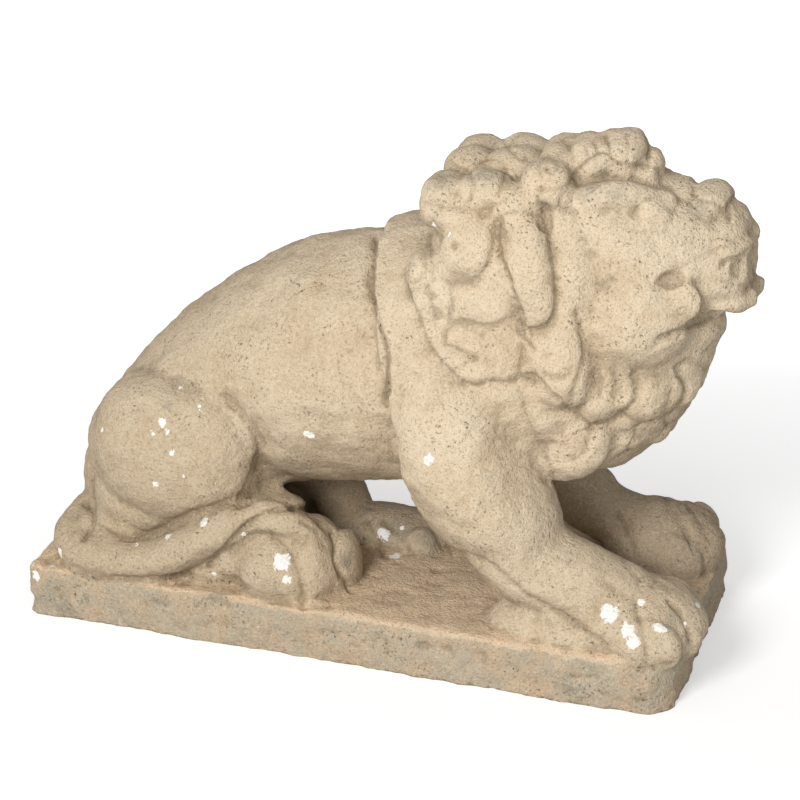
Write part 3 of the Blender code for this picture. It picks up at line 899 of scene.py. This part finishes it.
# White splashes on the stone: place on the frame and radius in millimetres
SPLASHES = {
    "crown and mane": [((508, 137), 5), ((434, 224), 4), ((450, 234), 3)],
    "rump": [((102, 430), 4), ((180, 388), 3), ((200, 408), 5)],
    "haunch": [((162, 422), 6), ((152, 433), 4), ((168, 433), 4), ((172, 453), 5), ((155, 484), 4)],
    "low on the haunch": [((184, 477), 2.5)],
    "flank": [((309, 435), 7)],
    "tail": [((204, 522), 7), ((168, 537), 6), ((136, 545), 4), ((60, 552), 5), ((61, 556), 4)],
    "near hind paw": [((281, 562), 12), ((287, 580), 7), ((244, 534), 5)],
    "far hind paw": [((383, 534), 9), ((395, 557), 8), ((402, 528), 4)],
    "foreleg": [((429, 460), 7)],
    "forepaw's back": [((609, 613), 12), ((628, 630), 9), ((633, 643), 9), ((641, 602), 6)],
    "forepaw's toes": [((658, 627), 7), ((665, 629), 4), ((698, 605), 5), ((685, 625), 4)],
    "plinth": [((36, 576), 7), ((52, 566), 4), ((214, 574), 3)],
}

# Dark grey and green patches, partly stains and partly painted shade on the brow, round the ear, low on
# the flank and round the far hind paw: place on the frame and radius
GREY_STAINS_AND_SHADE = {
    "brow": [((592, 186), 26), ((602, 176), 22), ((616, 198), 20)],
    "ear and back curls": [((545, 203), 12), ((440, 180), 26), ((480, 176), 22), ((492, 150), 20)],
    "nose": [((702, 210), 20)],
    "haunch and flank": [((168, 406), 8), ((300, 470), 24), ((280, 478), 16)],
    "far hind paw": [((400, 526), 34), ((428, 544), 28), ((366, 512), 16)],
    "forepaw": [((672, 618), 16), ((688, 640), 14)],
    "near hind paw": [((348, 560), 18)],
    "plinth's side": [((60, 600), 36), ((220, 596), 20), ((570, 690), 26), ((640, 700), 20)],
}
PATCH_REACH = 2

CARVING = [
    # lines, strength, cut on both sides, shade painted along them
    (BODY_LINES, 1, True, True),
    (MANE_LINES, 0.55, True, True),
    (CREST_LINES, 0.5, True, True),
    (FACE_LINES, 0.45, True, True),
    (RUFF_LINES, 0.7, True, True),
    (PITS, 0.8, True, False),
    (FORE_PAW_LINES, 0.9, True, True),
    (TAIL_LINES, 1, False, True),
    (HIND_PAW_LINES, 1, False, True),
    (FAR_PAW_LINES, 1, False, True),
    (EDGE_CHIPS, 1, False, False),
]

# Wear, as the size of its lumps and how deep they go, in metres
WEATHER = [(0.05, 0.0035), (0.021, 0.0016), (0.0095, 0.0011)]
BROKEN_STONE = [(0.03, 0.009), (0.012, 0.004)]
ROUGH_SIDE = [(0.02, 0.0022), (0.008, 0.0012)]

# Where each kind of wear, mark or painted shade fades, from nothing to full: heights, places and
# directions
BREAK_FADE = (0.75, 0.5)
BREAK_TOP = (PLINTH_HEIGHT + 0.012, PLINTH_HEIGHT - 0.004)
ROUGH_SIDE_TOP = (PLINTH_HEIGHT + 0.002, PLINTH_HEIGHT - 0.006)
SLAB_TOP = (PLINTH_HEIGHT + 0.004, PLINTH_HEIGHT - 0.008)
SLAB_UPRIGHT = (0.7, 0.3)
DIRT_HEIGHT = (PLINTH_HEIGHT + 0.05, PLINTH_HEIGHT - 0.01)
DIRT_LEVEL = (0.2, 0.8)
# Painted shade: surfaces facing down, and the low part of the far half, are darkened
FACING_DOWN = (0.0, -0.7)
FAR_HALF = (-0.05, 0.05)
FAR_LOW_SHADE_HEIGHT = (0.26, 0.17)

# The painted shade in a chisel line: its width, and the depth of a line that is shaded in full
SEAM_WIDTH = 1.7 * MM
SEAM_REACH = 3
DEEP_LINE = 7

# A hollow, which is darkened as painted shade: how many rounds of smoothing show it, and the depth of a
# full one
HOLLOW_ROUNDS = 14
DEEP_HOLLOW = 1.4 * MM


def wear(points, sizes, seed):
    """Noise of several sizes together, each with a seed of its own."""
    return sum(depth * noise_at(points, size, seed + i) for i, (size, depth) in enumerate(sizes))


def roughened(stone):
    """Weather over all of it, with coarser wear on the broken edge and the plinth's side."""
    worn = wear(stone.points, WEATHER, 0)
    x, y, z = stone.points.T
    along_break = (x - EDGE_BREAK_MIDDLE) / EDGE_BREAK_LENGTH
    into_break = (y - PLINTH_WIDTH / 2) / EDGE_BREAK_DEPTH / 2
    broken = smoothstep(np.hypot(along_break, into_break), *BREAK_FADE) * smoothstep(z, *BREAK_TOP)
    worn += broken * wear(stone.points, BROKEN_STONE, 3)
    side = smoothstep(z, *ROUGH_SIDE_TOP) * (1 - np.abs(stone.out[:, 2]))
    worn += side * wear(stone.points, ROUGH_SIDE, 5)
    stone.points += stone.out * worn[:, None]
    stone.turn_out()


def marked(stone, name, values):
    """Keeps one number a point for the finish to read."""
    attribute = stone.mesh.attributes.new(name, "FLOAT", "POINT")
    attribute.data.foreach_set("value", values.astype(np.float32))


def patch(stone, groups):
    """One in the middle of each patch, falling away to zero at its reach."""
    mask = np.zeros(len(stone.points))
    for (px, py), radius in (place for places in groups.values() for place in places):
        centre = stone.seen_at(px, py)
        if centre is None:
            continue
        reach = PATCH_REACH * radius * MM
        near, gap, _ = stone.beside([centre], reach)
        mask[near] = np.maximum(mask[near], 1 - gap / reach)
    return mask


def thinned(mesh):
    """The stone in fewer triangles, its underside kept flat."""
    faces = sum(len(polygon.vertices) - 2 for polygon in mesh.polygons)
    ratio = min(MOST_TRIANGLES / faces, 1)
    mesh = finished(mesh, "stone", ("TRIANGULATE", {}), ("DECIMATE", {"ratio": ratio}))
    for vert in mesh.vertices:
        if vert.co.z < FLAT_WITHIN:
            vert.co.z = 0.0
    return mesh


def kept_inside(mesh, box):
    """Brings any point outside the model's box back onto it."""
    low, high = box
    for vert in mesh.vertices:
        for axis in range(3):
            vert.co[axis] = min(max(vert.co[axis], low[axis]), high[axis])
    return mesh


def carve():
    """The whole statue, from rough masses to the sawn underside."""
    details = bmesh.new()
    face(details)
    ruff(details)
    mane_locks(details)
    crest(details)
    paws(details)
    tail(details)
    block = joined(
        hindquarters(),
        behind_the_shoulder(forequarters()),
        head(),
        mane_mass(),
        plinth(),
        mesh_of(details, "details"),
    )
    rough = fused(block, "stone", FINE_VOXEL, 3)
    rough = biggest_skin(fused(cut(rough, hollows()), "stone", FINE_VOXEL, 2))
    stone = Stone(rough)
    for lines, strength, both_sides, _ in CARVING:
        stone.chisel(lines, strength, both_sides)
    roughened(stone)
    return thinned(flat_below(stone.mesh))


def seams(stone):
    """One along the deep chisel lines, where shade is painted, falling away to zero beside them."""
    mask = np.zeros(len(stone.points))
    for lines, _, both_sides, seam_shaded in CARVING:
        if not seam_shaded:
            continue
        for _, _, depth, places in lines.values():
            line = stone.laid(places)
            for way in (line, stone.mirrored(line) if both_sides else None):
                if way:
                    near, gap, _ = stone.beside(way, SEAM_REACH * SEAM_WIDTH)
                    dirt_and_shade = min(depth / DEEP_LINE, 1) * np.exp(-((gap / SEAM_WIDTH) ** 2))
                    mask[near] = np.maximum(mask[near], dirt_and_shade)
    return mask


def finish_marks(mesh):
    """The numbers that the finish reads: seams and hollows for painted shade, splashes, grey stains with
    painted shade, dirt, and painted shade underneath.
    """
    stone = Stone(mesh)
    marked(stone, "seam", seams(stone))
    hollow = stone.hollowness(HOLLOW_ROUNDS) / DEEP_HOLLOW
    marked(stone, "hollow", (0.5 + 0.5 * hollow).clip(0, 1))
    marked(stone, "splash", patch(stone, SPLASHES))
    marked(stone, "grey", patch(stone, GREY_STAINS_AND_SHADE))
    up = stone.out[:, 2]
    _, y, z = stone.points.T
    marked(stone, "dirt_and_shade", smoothstep(z, *DIRT_HEIGHT) * smoothstep(up, *DIRT_LEVEL))
    # Painted shade on surfaces facing down and low on the far side
    far_low_shade = smoothstep(y, *FAR_HALF) * smoothstep(z, *FAR_LOW_SHADE_HEIGHT)
    marked(stone, "under", np.maximum(smoothstep(up, *FACING_DOWN), far_low_shade))
    marked(stone, "slab", smoothstep(z, *SLAB_TOP) * smoothstep(up, *SLAB_UPRIGHT))


class Nodes:
    """A short way of placing shader nodes and joining them."""

    def __init__(self, tree):
        self.tree = tree

    def add(self, kind, settings=None, **inputs):
        """Adds a node. An input goes by its name, or by its number after an underscore."""
        node = self.tree.nodes.new(kind)
        for key, value in (settings or {}).items():
            setattr(node, key, value)
        for key, value in inputs.items():
            socket = node.inputs[int(key[1:])] if key[1:].isdigit() else node.inputs[key.replace("_", " ")]
            if isinstance(value, bpy.types.NodeSocket):
                self.tree.links.new(value, socket)
            else:
                socket.default_value = value
        return node

    def noise(self, where, scale, detail, roughness):
        return self.add(
            "ShaderNodeTexNoise", None, Vector=where, Scale=scale, Detail=detail, Roughness=roughness
        ).outputs["Fac"]

    def ramp(self, value, low, high, to_low=0.0, to_high=1.0):
        """The value carried from one range to another, held at its ends."""
        node = self.add(
            "ShaderNodeMapRange", {"interpolation_type": "SMOOTHSTEP"},
            Value=value, From_Min=low, From_Max=high, To_Min=to_low, To_Max=to_high,
        )
        return node.outputs["Result"]

    def math(self, operation, a, b):
        return self.add("ShaderNodeMath", {"operation": operation}, _0=a, _1=b).outputs[0]

    def mixed(self, a, b, share):
        """The share of a, and the rest b."""
        return self.math("ADD", self.math("MULTIPLY", a, share), self.math("MULTIPLY", b, 1 - share))

    def blend(self, share, a, b):
        """Colour a turned towards colour b by the share."""
        node = self.add("ShaderNodeMix", {"data_type": "RGBA"})
        for index, value in ((0, share), (6, a), (7, b)):
            if isinstance(value, bpy.types.NodeSocket):
                self.tree.links.new(value, node.inputs[index])
            else:
                node.inputs[index].default_value = value
        return node.outputs[2]

    def attribute(self, name):
        return self.add("ShaderNodeAttribute", {"attribute_name": name}).outputs["Fac"]


def group(name, inputs, outputs):
    """A node group with named sockets. Gives the group, its nodes, its input sockets and its end."""
    tree = bpy.data.node_groups.new(name, "ShaderNodeTree")
    for socket, kind in inputs:
        tree.interface.new_socket(socket, in_out="INPUT", socket_type=kind)
    for socket, kind in outputs:
        tree.interface.new_socket(socket, in_out="OUTPUT", socket_type=kind)
    nodes = Nodes(tree)
    start = tree.nodes.new("NodeGroupInput")
    end = tree.nodes.new("NodeGroupOutput")
    return tree, nodes, start.outputs, end


# The finish. A noise is (scale, detail, roughness), and a scale of 1 is one lump a metre
SAND = (620.0, 2.0, 0.7)
COARSE_SAND = (270.0, 3.0, 0.65)
LUMPS = (70.0, 3.0, 0.6)
PITTED_PLACES = (22.0, 2.0, 0.5)
BROAD_PATCHES = (7.0, 4.0, 0.6)
MIDDLE_PATCHES = (24.0, 4.0, 0.6)
PINK_PATCHES = (13.0, 5.0, 0.65)
GRAIN_DEPTH = 0.0034


def grain_group():
    """The sand of the stone: fine dark and light grains, coarse pits and the height of both."""
    number = "NodeSocketFloat"
    tree, nodes, given, end = group(
        "sand grain",
        [("Place", "NodeSocketVector")],
        [("Dark", number), ("Light", number), ("Pits", number), ("Height", number)],
    )
    where = given["Place"]
    sand = nodes.noise(where, *SAND)
    coarse = nodes.noise(where, *COARSE_SAND)
    lumps = nodes.noise(where, *LUMPS)
    pitted = nodes.noise(where, *PITTED_PLACES)
    pits = nodes.math("MULTIPLY", nodes.ramp(coarse, 0.37, 0.28), nodes.ramp(pitted, 0.45, 0.62))
    height = nodes.math("ADD", nodes.math("MULTIPLY", sand, 0.35), nodes.math("MULTIPLY", coarse, 0.8))
    height = nodes.math("ADD", height, nodes.math("MULTIPLY", lumps, 1.1))
    height = nodes.math("SUBTRACT", height, nodes.math("MULTIPLY", pits, 0.7))
    found = {
        "Dark": nodes.ramp(nodes.mixed(sand, coarse, 0.6), 0.5, 0.36),
        "Light": nodes.ramp(nodes.mixed(sand, coarse, 0.5), 0.53, 0.68),
        "Pits": pits,
        "Height": height,
    }
    for name, value in found.items():
        tree.links.new(value, end.inputs[name])
    return tree


def ragged_group():
    """A soft patch with its edge broken up: the mask of a splash or a stain."""
    number = "NodeSocketFloat"
    tree, nodes, given, end = group(
        "ragged patch",
        [("Patch", number), ("Place", "NodeSocketVector"), ("Coarseness", number), ("Softness", number)],
        [("Mask", number)],
    )
    rough = nodes.noise(given["Place"], given["Coarseness"], 5.0, 0.65)
    ragged = nodes.math("MULTIPLY", nodes.math("SUBTRACT", rough, 0.5), 1.1)
    broken = nodes.math("ADD", given["Patch"], ragged)
    mask = nodes.ramp(broken, 0.5, nodes.math("ADD", given["Softness"], 0.5))
    tree.links.new(mask, end.inputs["Mask"])
    return tree


# Colours
BUFF = (0.62, 0.485, 0.325, 1)
PALE_BUFF = (0.73, 0.60, 0.43, 1)
BROWN = (0.43, 0.31, 0.185, 1)
UMBER = (0.36, 0.27, 0.17, 1)
UNDERSIDE_SHADE = (0.27, 0.20, 0.13, 1)
EARTH = (0.80, 0.585, 0.385, 1)
PINK = (0.58, 0.40, 0.27, 1)
GREY_STAIN_AND_SHADE = (0.25, 0.235, 0.185, 1)
SLAB_GREY = (0.43, 0.365, 0.27, 1)
SLAB_BROWN = (0.50, 0.375, 0.25, 1)
# A brown-black for painted shade in the hollows and chisel lines, and for the dark pits of the grain
SHADE_AND_GRIME = (0.20, 0.145, 0.085, 1)
DARK_GRAIN = (0.21, 0.155, 0.095, 1)
LIGHT_GRAIN = (0.83, 0.74, 0.58, 1)
WHITE = (0.90, 0.88, 0.82, 1)


def sandstone():
    """Weathered sandstone: buff and paler buff, pink patches, grey stains partly painted as shade, dirt,
    splashes and grain, with shade painted into the hollows, the chisel lines and the undersides.
    """
    material = bpy.data.materials.new("weathered sandstone")
    material.use_nodes = True
    tree = material.node_tree
    nodes = Nodes(tree)
    shader = tree.nodes["Principled BSDF"]
    where = nodes.add("ShaderNodeTexCoord").outputs["Object"]
    grain = nodes.add("ShaderNodeGroup", {"node_tree": grain_group()}, Place=where).outputs
    ragged = ragged_group()

    def mask_of(name, coarseness, softness):
        """How far a mark of the stone covers each point, with the mark's edge broken up."""
        return nodes.add(
            "ShaderNodeGroup", {"node_tree": ragged},
            Patch=nodes.attribute(name), Place=where, Coarseness=coarseness, Softness=softness,
        ).outputs["Mask"]

    hollow = nodes.attribute("hollow")
    broad = nodes.noise(where, *BROAD_PATCHES)
    middle = nodes.noise(where, *MIDDLE_PATCHES)
    pinkish = nodes.noise(where, *PINK_PATCHES)
    colour = nodes.blend(nodes.ramp(broad, 0.35, 0.65), BUFF, PALE_BUFF)
    colour = nodes.blend(nodes.ramp(middle, 0.5, 0.75, 0.0, 0.45), colour, BROWN)
    colour = nodes.blend(nodes.ramp(pinkish, 0.55, 0.72, 0.0, 0.55), colour, PINK)
    colour = nodes.blend(nodes.ramp(hollow, 0.5, 0.15, 0.0, 0.5), colour, PALE_BUFF)
    place = nodes.add("ShaderNodeSeparateXYZ", None, Vector=where).outputs
    colour = nodes.blend(nodes.ramp(place["Z"], 0.32, 0.12, 0.0, 0.25), colour, UMBER)
    colour = nodes.blend(nodes.ramp(place["X"], 0.25, -0.30, 0.0, 0.4), colour, UMBER)
    # Painted shade on the undersides and low on the far side
    colour = nodes.blend(nodes.math("MULTIPLY", nodes.attribute("under"), 0.55), colour, UNDERSIDE_SHADE)
    slab = nodes.blend(nodes.ramp(middle, 0.4, 0.62), SLAB_GREY, SLAB_BROWN)
    stains = [
        # mark, coarseness and softness of its edge, share, colour
        ("slab", 30.0, 0.5, 0.85, slab),
        ("dirt_and_shade", 24.0, 0.6, 0.8, EARTH),
        # The grey patches: partly stains, partly painted shade
        ("grey", 60.0, 0.6, 0.6, GREY_STAIN_AND_SHADE),
    ]
    for name, coarseness, softness, share, stain in stains:
        mask = mask_of(name, coarseness, softness)
        colour = nodes.blend(nodes.math("MULTIPLY", mask, share), colour, stain)
    # Painted shade: the hollows darkened towards brown-black
    colour = nodes.blend(nodes.ramp(hollow, 0.6, 1.0, 0.0, 0.4), colour, SHADE_AND_GRIME)
    # Painted shade along the deep chisel lines
    seam = nodes.math("MULTIPLY", nodes.attribute("seam"), nodes.ramp(middle, 0.3, 0.6, 0.35, 0.8))
    colour = nodes.blend(seam, colour, SHADE_AND_GRIME)
    grains = (("Dark", 0.5, DARK_GRAIN), ("Light", 0.5, LIGHT_GRAIN), ("Pits", 0.55, SHADE_AND_GRIME))
    for name, share, speck in grains:
        colour = nodes.blend(nodes.math("MULTIPLY", grain[name], share), colour, speck)
    colour = nodes.blend(mask_of("splash", 160.0, 0.12), colour, WHITE)
    tree.links.new(colour, shader.inputs["Base Color"])
    rough = nodes.ramp(middle, 0.3, 0.7, 0.86, 0.97)
    tree.links.new(rough, shader.inputs["Roughness"])
    shader.inputs["Specular IOR Level"].default_value = 0.25
    bump = nodes.add("ShaderNodeBump", None, Height=grain["Height"], Strength=1.0, Distance=GRAIN_DEPTH)
    tree.links.new(bump.outputs["Normal"], shader.inputs["Normal"])
    return material


# The room: its light on the stone and as the camera sees it, the lamps and the floor
ROOM_LIGHT = 0.4
ROOM_SEEN = 1.0
LAMPS = [
    # name, place, size, power
    ("key", (-0.5, -3.1, 2.3), 1.2, 96),
    ("fill", (0.8, -3.1, 0.8), 1.4, 22),
]
LAMPS_AIM = Vector((0, 0, 0.3))
FLOOR_REACH = 25.0
FLOOR_GLOW_PLACES = (-1.2, 2.4)
FLOOR_GLOW = (0.22, 0.9)


def seen_by_camera(nodes):
    return nodes.add("ShaderNodeLightPath").outputs["Is Camera Ray"]


def soft_light():
    """A pale room, a soft key light in front and a little to the left, and a low fill on the right."""
    world = bpy.data.worlds.new("studio")
    world.use_nodes = True
    background = world.node_tree.nodes["Background"].inputs
    background["Color"].default_value = (1, 1, 1, 1)
    nodes = Nodes(world.node_tree)
    strength = nodes.ramp(seen_by_camera(nodes), 0.0, 1.0, ROOM_LIGHT, ROOM_SEEN)
    world.node_tree.links.new(strength, background["Strength"])
    bpy.context.scene.world = world
    for name, place, size, power in LAMPS:
        data = bpy.data.lights.new(name, "AREA")
        data.size = size
        data.energy = power
        lamp = bpy.data.objects.new(name, data)
        lamp.location = place
        aim = LAMPS_AIM - lamp.location
        lamp.rotation_euler = aim.to_track_quat("-Z", "Y").to_euler()
        bpy.context.scene.collection.objects.link(lamp)
    bpy.context.scene.view_settings.view_transform = "Standard"


def floor():
    """A wide pale floor, which glows more towards the back so that it runs out to white."""
    mesh = bpy.data.meshes.new("floor")
    r = FLOOR_REACH
    mesh.from_pydata([(-r, -r, 0), (r, -r, 0), (r, r, 0), (-r, r, 0)], [], [(0, 1, 2, 3)])
    material = bpy.data.materials.new("pale paper")
    material.use_nodes = True
    shader = material.node_tree.nodes["Principled BSDF"]
    shader.inputs["Base Color"].default_value = (0.8, 0.8, 0.8, 1)
    shader.inputs["Roughness"].default_value = 0.9
    shader.inputs["Emission Color"].default_value = (1, 1, 1, 1)
    nodes = Nodes(material.node_tree)
    where = nodes.add("ShaderNodeTexCoord").outputs["Object"]
    place = nodes.add("ShaderNodeSeparateXYZ", None, Vector=where).outputs
    glow = nodes.ramp(place["Y"], *FLOOR_GLOW_PLACES, *FLOOR_GLOW)
    seen_glow = nodes.math("MULTIPLY", seen_by_camera(nodes), glow)
    material.node_tree.links.new(seen_glow, shader.inputs["Emission Strength"])
    mesh.materials.append(material)
    obj = bpy.data.objects.new("floor", mesh)
    bpy.context.scene.collection.objects.link(obj)
    return obj


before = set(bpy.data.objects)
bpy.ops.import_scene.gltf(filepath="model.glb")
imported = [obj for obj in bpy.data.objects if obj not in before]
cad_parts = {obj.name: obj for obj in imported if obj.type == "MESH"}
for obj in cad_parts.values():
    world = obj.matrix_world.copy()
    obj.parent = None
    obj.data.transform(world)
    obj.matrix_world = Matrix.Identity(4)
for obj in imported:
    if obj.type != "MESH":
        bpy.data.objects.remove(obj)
cad_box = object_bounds()
mesh = kept_inside(carve(), cad_box)
finish_marks(mesh)
mesh.materials.clear()
mesh.materials.append(sandstone())
mesh.shade_smooth()
statue = bpy.data.objects.new("carved_lion", mesh)
bpy.context.scene.collection.objects.link(statue)
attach(statue, "root")
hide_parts("lion_statue")
floor()
soft_light()
place_camera()
